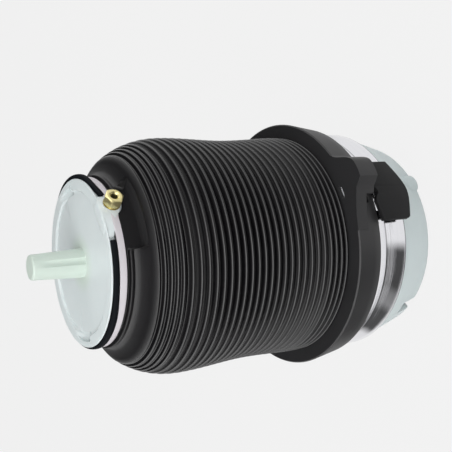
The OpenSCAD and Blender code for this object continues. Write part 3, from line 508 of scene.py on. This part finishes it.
# Dust boot: blow-moulded black rubber with narrow folds, a smooth shoulder and a plain collar. Its
# foot bead sits under the ring's flange, and a pocket in the shoulder clears the air fitting.
CRESTS = 29
FIRST_CREST, LAST_CREST = 84.7, 218.6
FOOT_FOLDS, FOOT_PITCH = 3, 4.3
TOP_FOLDS, TOP_PITCH = 4, 3.2
WAIST_Z, BULGE_Z = 135.0, 182.0
FOOT_R, WAIST_R, BULGE_R, TOP_CREST_R = 80.2, 78.4, 80.4, 69.1
FACET_IN, FACET_HALF = 0.6, 0.95
SKIN_DEPTH, LINING_DEPTH, FULL_PITCH = 3.4, 3.1, 5.0
BOOT_WALL = 1.1
POCKET_FROM, POCKET_TO = -31.5, 13.0
POCKET_WALL, POCKET_EDGE, POCKET_FLOOR, POCKET_TOP = 55.4, 64.4, 221.9, 232.7
FITTING_Z, HOLE_R = 234.6, 7.0

rubber = Finish("boot_rubber")
side_from, side_to = math.radians(POCKET_FROM), math.radians(POCKET_TO)
in_pocket = rubber.y.math("ARCTAN2", rubber.x).within((side_from - 0.003, side_from + 0.005),
                                                      (side_to - 0.005, side_to + 0.003))
in_pocket *= 1 - rubber.radius.step((POCKET_EDGE - 0.2) * MM, (POCKET_EDGE + 0.2) * MM)
in_pocket *= rubber.z.within(((POCKET_FLOOR - 1.4) * MM, (POCKET_FLOOR - 0.9) * MM),
                             ((POCKET_TOP - 0.4) * MM, POCKET_TOP * MM))
satin = rubber.z.step(LAST_CREST * MM, (LAST_CREST + 1.6) * MM)
boot_rubber = rubber.shade(
    Base_Color=rubber.blend(rubber.noise(45.0, 3.0), (0.0022, 0.0021, 0.0026),
                            (0.0042, 0.0038, 0.0046)),
    Roughness=rubber.noise(70.0) * 0.06 + 0.15 + in_pocket * 0.7 + satin * 0.27,
    Normal=rubber.bump(rubber.noise(1300.0), 0.12, 0.0002),
)


def smooth_between(value, low, high):
    """0 at low and before it, 1 at high and past it, with a smooth change between them."""
    t = min(1.0, max(0.0, (value - low) / (high - low)))
    return t * t * (3 - 2 * t)


def crest_height(i):
    """Height of a crest; the folds stand closer at both ends."""
    if i < FOOT_FOLDS:
        return FIRST_CREST + FOOT_PITCH * i
    if i >= CRESTS - TOP_FOLDS:
        return LAST_CREST - TOP_PITCH * (CRESTS - 1 - i)
    first = FIRST_CREST + FOOT_PITCH * FOOT_FOLDS
    last = LAST_CREST - TOP_PITCH * TOP_FOLDS
    return first + (i - FOOT_FOLDS) * (last - first) / (CRESTS - 1 - FOOT_FOLDS - TOP_FOLDS)


def crest_radius(z):
    """Radius of the crests: a bulge under the shoulder, a waist, and a wider foot."""
    if z > BULGE_Z:
        up = (z - BULGE_Z) / (LAST_CREST - BULGE_Z)
        return BULGE_R - (BULGE_R - TOP_CREST_R) * up ** 2.4
    if z > WAIST_Z:
        return BULGE_R - (BULGE_R - WAIST_R) * smooth_between(z, BULGE_Z, WAIST_Z)
    return WAIST_R + (FOOT_R - WAIST_R) * smooth_between(z, WAIST_Z, FIRST_CREST)


boot_skin = [(74.3, 77.1, 0.4), (79.4, 77.1, 0.6), (79.4, 80.1, 0.6), (76.1, 80.1, 0.4),
             (76.1, 83.4, 0.4)]
for i in range(CRESTS):
    z = crest_height(i)
    radius = crest_radius(z)
    if i:
        boot_skin.append((radius - FACET_IN, z - FACET_HALF, 0.35))
    if i == CRESTS - 1:
        boot_skin.append((radius, z, 2.2))
        continue
    pitch = crest_height(i + 1) - z
    boot_skin += [(radius, z, 0.35), (radius - FACET_IN, z + FACET_HALF, 0.35),
                  (radius - SKIN_DEPTH * min(1, pitch / FULL_PITCH), z + pitch / 2, 0.4)]
boot_skin += [(66.8, 220.9, 2.0), (62.6, 223.0, 3.0), (57.9, 226.2, 2.4), (56.3, 228.7, 0.5),
              (56.7, 229.2, 0.5), (56.7, 230.8, 0.7), (55.8, 231.2, 0.5), (53.9, 231.4, 0.3),
              (53.9, 232.8, 0.3), (54.5, 233.1, 0.2), (54.5, 237.8, 0.3)]
boot_lining = [(52.5, 237.8, 0.4), (52.5, 230.6, 0.5), (55.4, 229.4, 0.4), (55.4, 228.0, 0.6),
               (59.0, 222.6, 3.0), (66.9, 219.2, 1.5)]
for i in reversed(range(CRESTS)):
    z = crest_height(i)
    radius = crest_radius(z) - BOOT_WALL
    boot_lining.append((radius, z, 0))
    if i:
        pitch = z - crest_height(i - 1)
        boot_lining.append((radius - LINING_DEPTH * min(1, pitch / FULL_PITCH), z - pitch / 2, 0))
boot_lining += [(75.0, 84.0, 0.3), (75.0, 80.2, 0.3), (74.3, 80.2, 0)]
boot_points = soften(boot_skin + boot_lining, 0.5, 2)
skin_count = len(soften(boot_skin + boot_lining[:1], 0.5, 2)) - 4


def pocket_profile(points):
    """The same outline where the pocket is: the shoulder folded into a floor and a wall."""
    made = list(points)
    for side, inset in ((range(skin_count), 0.0), (range(skin_count, len(points)), BOOT_WALL)):
        wall_r, floor_z = POCKET_WALL - inset, POCKET_FLOOR - inset
        reach, rise = POCKET_EDGE - wall_r, POCKET_TOP - floor_z
        path = [i for i in side
                if wall_r - 2.0 < points[i].x < POCKET_EDGE and floor_z < points[i].y < POCKET_TOP]
        if not path:
            continue
        steps = [0.0]
        for a, b in zip(path, path[1:]):
            steps.append(steps[-1] + (points[a] - points[b]).length)
        for i, step in zip(path, steps):
            along = step / steps[-1]
            if inset:
                along = 1 - along
            along *= reach + rise
            if along < reach:
                made[i] = Vector((POCKET_EDGE - along, floor_z))
            else:
                made[i] = Vector((wall_r, floor_z + along - reach))
    return made


# Between the pocket's sides the spun points move to the pocket's outline. Those next to a side
# close up to it, so that it stands steep, and the wall leaves a round hole for the boss.
boot_pocket = pocket_profile(boot_points)
boot = turn(boot_points, 192, POCKET_FROM - 0.9)
places = {(round(p.x, 2), round(p.y, 2)): i for i, p in enumerate(boot_points)}
for vert in boot.verts:
    bearing = math.degrees(math.atan2(vert.co.y, vert.co.x))
    radius = math.hypot(vert.co.x, vert.co.y)
    key = places.get((round(radius / MM, 2), round(vert.co.z / MM, 2)))
    if POCKET_FROM < bearing < POCKET_TO and key is not None:
        for edge, inside in ((POCKET_FROM, 1), (POCKET_TO, -1)):
            if abs(bearing - edge) < 1.9:
                bearing = edge + 0.15 * inside
        radius, height = boot_pocket[key] * MM
        across = radius * math.sin(math.radians(bearing))
        if abs(across) < HOLE_R * MM:
            height = min(height, FITTING_Z * MM - math.sqrt((HOLE_R * MM) ** 2 - across ** 2))
        vert.co = (radius * math.cos(math.radians(bearing)), across, height)
bmesh.ops.remove_doubles(boot, verts=boot.verts, dist=1e-5)
bmesh.ops.dissolve_degenerate(boot, dist=1e-6, edges=boot.edges)
bmesh.ops.recalc_face_normals(boot, faces=boot.faces)
convoluted = piece(boot, "convoluted_boot", boot_rubber, None, "dust_boot",
                   crease=62.0)
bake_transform(convoluted)

# Air sleeve: thin cord-laid rubber. Its outer end is crimped on the base seat's collar; it rises
# along the guide can, rolls over and comes down to the piston head, where its inner end is crimped.
SLEEVE_R, SLEEVE_IN_R, SLEEVE_WALL = 71.2, 46.3, 1.8
SLEEVE_FOOT, SLEEVE_TOP, SLEEVE_INNER_END = 46.0, 127.0, 99.0
LOBE_STEPS = 24

sleeve = Finish("sleeve_rubber")
cords = sleeve.noise(1.0, 2.0, (500, 500, 60))
sleeve_rubber = sleeve.shade(
    Base_Color=sleeve.blend(cords, (0.010, 0.010, 0.011), (0.018, 0.017, 0.018)),
    Roughness=cords * 0.12 + 0.44,
    Normal=sleeve.bump(cords, 0.15, 0.0002),
)
lobe_r = (SLEEVE_R - SLEEVE_IN_R) / 2
lobe_at = SLEEVE_IN_R + lobe_r


def sleeve_face(reach):
    """One face of the sleeve's wall, from its outer end over the lobe to its inner end."""
    lobe = [(lobe_at + reach * math.cos(math.pi * k / LOBE_STEPS),
             SLEEVE_TOP - lobe_r + reach * math.sin(math.pi * k / LOBE_STEPS))
            for k in range(LOBE_STEPS + 1)]
    return [(lobe_at + reach, SLEEVE_FOOT), *lobe, (lobe_at - reach, SLEEVE_INNER_END)]


sleeve_outline = sleeve_face(lobe_r) + sleeve_face(lobe_r - SLEEVE_WALL)[::-1]
rolled_sleeve = piece(turn(sleeve_outline, 144), "rolled_sleeve", sleeve_rubber, None,
                      "air_sleeve")
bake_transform(rolled_sleeve)

# Cap: moulded in the same white nylon as the base seat, with a fluted spigot, two crescent pockets
# in its rim and a boss that swells out of the rim for the air fitting.
CRESCENT_ENDS = ((55.0, 1), (-119.0, -1))
CRESCENT_SWEEP, CRESCENT_EASE = 30.0, 16.0
CRESCENT_FLOOR, CRESCENT_RISE = 236.6, 3.2

cap_outline = soften([
    (0.0, 237.6, 0), (40.0, 237.6, 0.5), (40.0, 226.8, 0.5), (46.1, 226.8, 0.3), (46.1, 216.9, 0.4),
    (50.2, 216.9, 0.5), (50.8, 217.8, 0.5), (50.8, 227.6, 0.6), (52.2, 229.2, 0.4),
    (52.2, 237.8, 0.2), (53.0, 237.8, 0.2), (53.0, 241.6, 0.2), (54.4, 241.6, 0.3),
    (54.4, 242.6, 0.7), *((52.2 - t / 4, 242.6, 0) for t in range(19)), (46.9, 242.3, 0.4),
    (46.2, 241.1, 0.7), *((45.4 - t / 4, 241.1, 0) for t in range(4)), (30.0, 241.1, 0),
    (15.0, 241.1, 0), (10.6, 241.1, 0), (0.0, 241.1, 0),
], 0.5)
cap_disc = turn(cap_outline, 216, closed=False)
for vert in cap_disc.verts:
    radius = math.hypot(vert.co.x, vert.co.y) / MM
    bearing = math.degrees(math.atan2(vert.co.y, vert.co.x))
    if vert.co.z > 240.5 * MM:
        past = [(bearing - deep_end) * way % 360 for deep_end, way in CRESCENT_ENDS]
        sunk = sum(smooth_between(degrees, 0, 0.7)
                   * (1 - smooth_between(degrees, CRESCENT_SWEEP - CRESCENT_EASE, CRESCENT_SWEEP))
                   for degrees in past)
        sunk *= smooth_between(radius, CRESCENT_IN + 0.1, CRESCENT_IN + 0.6)
        sunk *= 1 - smooth_between(radius, CRESCENT_OUT - 0.5, CRESCENT_OUT)
        rise = CRESCENT_RISE * min(1.0, min(past) / (CRESCENT_SWEEP - CRESCENT_EASE))
        vert.co.z += ((CRESCENT_FLOOR + rise) * MM - vert.co.z) * sunk

SPIGOT_ROOT_R, SPIGOT_TAPER, SPIGOT_STEPS = 9.6, 1.4, 40
SPIGOT_Z, SPIGOT_H = 241.6, 31.4
FLUTES, FLUTE_FROM = 4, -30.0
FLUTE_HALF, FLUTE_DEPTH, FLUTE_FADE = 13.0, 1.25, (262.0, 272.5)
spigot_outline = [(0.0, 239.5), (9.8, 239.5), (9.75, 241.0)]
spigot_outline += [(SPIGOT_ROOT_R - SPIGOT_TAPER * t / SPIGOT_STEPS,
                    SPIGOT_Z + SPIGOT_H * t / SPIGOT_STEPS) for t in range(SPIGOT_STEPS + 1)]
spigot_outline += soften([(8.15, 273.4, 0), (7.9, 274.5, 0.8), (6.6, 274.8, 0.8), (0.0, 274.8, 0)],
                         0.5)
spigot = turn(spigot_outline, 160, closed=False)
for vert in spigot.verts:
    bearing = math.degrees(math.atan2(vert.co.y, vert.co.x))
    radius = math.hypot(vert.co.x, vert.co.y)
    away = abs((bearing - FLUTE_FROM + 45) % (360 / FLUTES) - 45)
    if radius > 6.5 * MM and away < FLUTE_HALF:
        depth = FLUTE_DEPTH * math.sqrt(max(0.0, 1 - (away / FLUTE_HALF) ** 2))
        depth *= 1 - smooth_between(vert.co.z / MM, *FLUTE_FADE)
        vert.co.x *= 1 - depth * MM / radius
        vert.co.y *= 1 - depth * MM / radius

# The boss is drafted as the hull of two circles about the fitting's axis, each given as x and
# radius, and of the swell's corners, each as bearing, radius and height. A round nose goes through
# it, and both are fused and smoothed. The insert's hole is then bored through boss and rim.
BOSS_CIRCLES, BOSS_TOP = ((47.0, 6.6), (55.2, 6.2)), 242.0
SWELL = ((-23.6, 53.9, 238.4), (-23.6, 53.9, 241.9), (-23.6, 47.0, 241.9), (-19.0, 54.8, 237.4),
         (-14.0, 55.2, 236.2), (-9.0, 55.7, 234.6), (8.6, 54.0, 238.0), (8.6, 54.0, 241.9),
         (9.6, 47.0, 241.9), (-17.0, 44.0, 241.2), (-17.0, 48.0, 242.9), (-17.0, 53.6, 243.0),
         (-8.0, 42.5, 241.2), (-8.0, 48.0, 243.3), (-8.0, 54.4, 243.2), (4.0, 43.0, 241.2),
         (4.0, 48.0, 243.2), (4.0, 54.2, 243.1))
NOSE_R, NOSE_TIP_R, NOSE_LENGTH, NOSE_X = 6.4, 6.1, 7.5, 51.7
BORE_R, BORE_LENGTH, BORE_X = 5.43, 22.0, 47.5
ALONG_X = Matrix.Rotation(math.radians(90), 4, "Y")

draft = bmesh.new()
corners = []
for x, radius in BOSS_CIRCLES:
    for k in range(40):
        angle = math.tau * k / 40
        corners.append((x, radius * math.sin(angle),
                        min(BOSS_TOP, FITTING_Z + radius * math.cos(angle))))
for bearing, radius, z in SWELL:
    angle = math.radians(bearing)
    corners.append((radius * math.cos(angle), radius * math.sin(angle), z))
hull = [draft.verts.new(Vector(corner) * MM) for corner in corners]
bmesh.ops.convex_hull(draft, input=hull, use_existing_faces=False)
bmesh.ops.delete(draft, geom=[v for v in draft.verts if not v.link_faces], context="VERTS")
nose = bmesh.ops.create_cone(draft, cap_ends=True, segments=64, radius1=NOSE_R * MM,
                             radius2=NOSE_TIP_R * MM, depth=NOSE_LENGTH * MM)
bmesh.ops.rotate(draft, verts=nose["verts"], cent=(0, 0, 0), matrix=ALONG_X)
bmesh.ops.translate(draft, verts=nose["verts"], vec=(NOSE_X * MM, 0, FITTING_Z * MM))
bmesh.ops.recalc_face_normals(draft, faces=draft.faces)


def linked(mesh, name):
    """A bmesh as an object of the scene, on which a modifier can work."""
    data = bpy.data.meshes.new(name)
    mesh.to_mesh(data)
    mesh.free()
    made = bpy.data.objects.new(name, data)
    bpy.context.scene.collection.objects.link(made)
    return made


def applied(made):
    """The shape of an object with its modifiers applied, as a bmesh."""
    mesh = bmesh.new()
    mesh.from_mesh(made.evaluated_get(bpy.context.evaluated_depsgraph_get()).to_mesh())
    return mesh


rough = linked(draft, "boss_draft")
remesh = rough.modifiers.new("fuse", "REMESH")
remesh.mode = "VOXEL"
remesh.voxel_size = 0.00032
boss = applied(rough)
bpy.data.objects.remove(rough)
for _ in range(9):
    bmesh.ops.smooth_vert(boss, verts=boss.verts, factor=0.5, use_axis_x=True, use_axis_y=True,
                          use_axis_z=True, mirror_clip_x=False, mirror_clip_y=False,
                          mirror_clip_z=False, clip_dist=0)


def bored(mesh):
    """The shape with the round hole in which the fitting's insert is pressed."""
    blank = linked(mesh, "blank")
    drill = bmesh.new()
    bmesh.ops.create_cone(drill, cap_ends=True, segments=72, radius1=BORE_R * MM,
                          radius2=BORE_R * MM, depth=BORE_LENGTH * MM,
                          matrix=Matrix.Translation((BORE_X * MM, 0, FITTING_Z * MM)) @ ALONG_X)
    tool = linked(drill, "drill")
    cut = blank.modifiers.new("bore", "BOOLEAN")
    cut.operation = "DIFFERENCE"
    cut.solver = "EXACT"
    cut.object = tool
    result = applied(blank)
    for used in (blank, tool):
        bpy.data.objects.remove(used)
    return cleaned(result)


cap = bmesh.new()
for part in (bored(cap_disc), spigot, bored(boss)):
    store = bpy.data.meshes.new("part")
    bmesh.ops.recalc_face_normals(part, faces=part.faces)
    part.to_mesh(store)
    part.free()
    cap.from_mesh(store)
    bpy.data.meshes.remove(store)
piece(cap, "cap_moulding", white_plastic, "piston", "piston_cap", crease=50.0)

# Clamp band: a thin strap of pale plastic, closed over the boot's collar to hold it on the cap. It
# is open where the boss passes.
band = Finish("band_plastic")
band_plastic = band.shade(
    Base_Color=band.blend(band.noise(60.0), (0.53, 0.505, 0.53), (0.59, 0.56, 0.59)),
    Roughness=0.4,
    Normal=band.bump(band.noise(900.0), 0.08, 0.0002),
)
piece(moulded("boot_clamp_band", 0.2), "clamp_band", band_plastic, "piston",
      "boot_clamp_band")

# Edge strip: extruded black rubber laid loosely in the cap's groove. Beside the fitting it lifts
# out of the groove in a wave, further round it sags a little, and one end is tucked in at the boss.
STRIP_FROM, STRIP_SWEEP, STRIP_MIDDLE = 8.0, 326.5, 239.8
WAVE_OUT, WAVE_UP, WAVE_SWELL = 1.5, 0.35, 0.12
SAG_OUT, SAG_DOWN, TUCK_DOWN = 0.5, 0.9, 1.6

strip = Finish("strip_rubber")
strip_rubber = strip.shade(
    Base_Color=strip.blend(strip.noise(90.0), (0.004, 0.005, 0.006), (0.007, 0.008, 0.010)),
    Roughness=0.65,
    Specular_IOR_Level=0.05,
    Normal=strip.bump(strip.noise(1400.0), 0.15, 0.0002),
)
strip_outline = soften([(53.15, 238.0, 0.4), (55.6, 238.0, 0.9), (56.0, 239.8, 0.9),
                        (55.6, 241.45, 0.9), (53.15, 241.45, 0.4)], 0.5, 4)
laid = turn(strip_outline, 260, STRIP_FROM, STRIP_SWEEP)
for vert in laid.verts:
    bearing = math.degrees(math.atan2(vert.co.y, vert.co.x)) % 360
    radius = math.hypot(vert.co.x, vert.co.y)
    tucked = 1 - smooth_between(bearing, 8, 24)
    lifted = smooth_between(bearing, 16, 40) * (1 - smooth_between(bearing, 70, 108))
    sagged = smooth_between(bearing, 225, 255) * (1 - smooth_between(bearing, 280, 310))
    outer = smooth_between(radius / MM, 53.2, 55.0)
    bulge = (WAVE_OUT * lifted + SAG_OUT * sagged) * outer * MM
    vert.co.x += vert.co.x / radius * bulge
    vert.co.y += vert.co.y / radius * bulge
    vert.co.z += (vert.co.z - STRIP_MIDDLE * MM) * WAVE_SWELL * lifted
    vert.co.z += (WAVE_UP * lifted - TUCK_DOWN * tucked - SAG_DOWN * sagged * outer) * MM
piece(laid, "edge_strip", strip_rubber, "piston", "cap_strip", crease=40.0)


# Seals: plain black rubber rings in grooves, between the base seat and the can, at both ends of the
# piston's tube, and round the fitting's insert.
def smoothed(node):
    """A CAD node's own shape as a bmesh, for a piece that is smooth all over."""
    mesh = bmesh.new()
    mesh.from_mesh(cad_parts[node].data)
    bmesh.ops.remove_doubles(mesh, verts=mesh.verts, dist=2e-6)
    return mesh


for seal, body in (("base_seal", "lower_mount"), ("tube_seal", "piston"), ("head_seal", "piston"),
                   ("fitting_seal", "piston")):
    piece(smoothed(seal), seal + "_ring", strip_rubber, body, seal, crease=60.0)

# Air fitting: a turned brass union nut in a brass insert, which is pressed into the cap's boss. The
# cutting ring that grips the air line and the poppet of the pressure valve are of brass as well.
LINE_HOLE_SHADE = (0.0019, 0.0023)
yellow = Finish("turned_brass")
off_axis = yellow.z - FITTING_Z * MM
off_axis = (yellow.y * yellow.y + off_axis * off_axis) ** 0.5
metal = yellow.blend(yellow.noise(300.0), (0.72, 0.63, 0.29), (0.82, 0.73, 0.39))
brass = yellow.shade(
    # Painted shade: the brass is coloured dark brown inside the bore round the fitting's axis.
    Base_Color=yellow.blend(off_axis.step(*LINE_HOLE_SHADE), (0.05, 0.03, 0.015), metal),
    Metallic=0.88,
    Roughness=yellow.noise(400.0) * 0.12 + 0.26,
    Normal=yellow.bump(yellow.noise(1800.0), 0.08, 0.0001),
)
piece(moulded("union_nut", 0.22), "brass_nut", brass, "nut", "union_nut")
dress(brass, "fitting_insert", "valve_poppet", "line_ferrule")

# Steel inside: zinc-plated crimp rings, snap ring, bump stop cup and screw, which are left as the
# CAD has them, and the valve's wound spring, which the poppet squashes when it opens.
zinc = Finish("zinc_steel")
zinc_steel = zinc.shade(
    Base_Color=zinc.blend(zinc.noise(200.0), (0.55, 0.56, 0.57), (0.66, 0.67, 0.68)),
    Metallic=1.0,
    Roughness=zinc.noise(300.0) * 0.2 + 0.3,
)
dress(zinc_steel, "bump_stop_cup", "cup_screw", "head_snap_ring", "sleeve_outer_clamp",
      "sleeve_inner_clamp")
coil = piece(smoothed("valve_spring"), "valve_coil", zinc_steel, "piston",
             "valve_spring", crease=60.0)
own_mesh(coil)

# Bump stop: straw-coloured microcellular foam, held in the steel cup that is screwed to the base
# seat. It catches the piston at the end of its stroke.
foam = Finish("bump_foam")
bump_foam = foam.shade(
    Base_Color=foam.blend(foam.noise(500.0), (0.60, 0.50, 0.28), (0.72, 0.62, 0.38)),
    Roughness=0.8,
    Normal=foam.bump(foam.noise(900.0), 0.4, 0.0003),
)
piece(smoothed("bump_stop"), "foam_stop", bump_foam, "lower_mount", "bump_stop",
      crease=60.0)
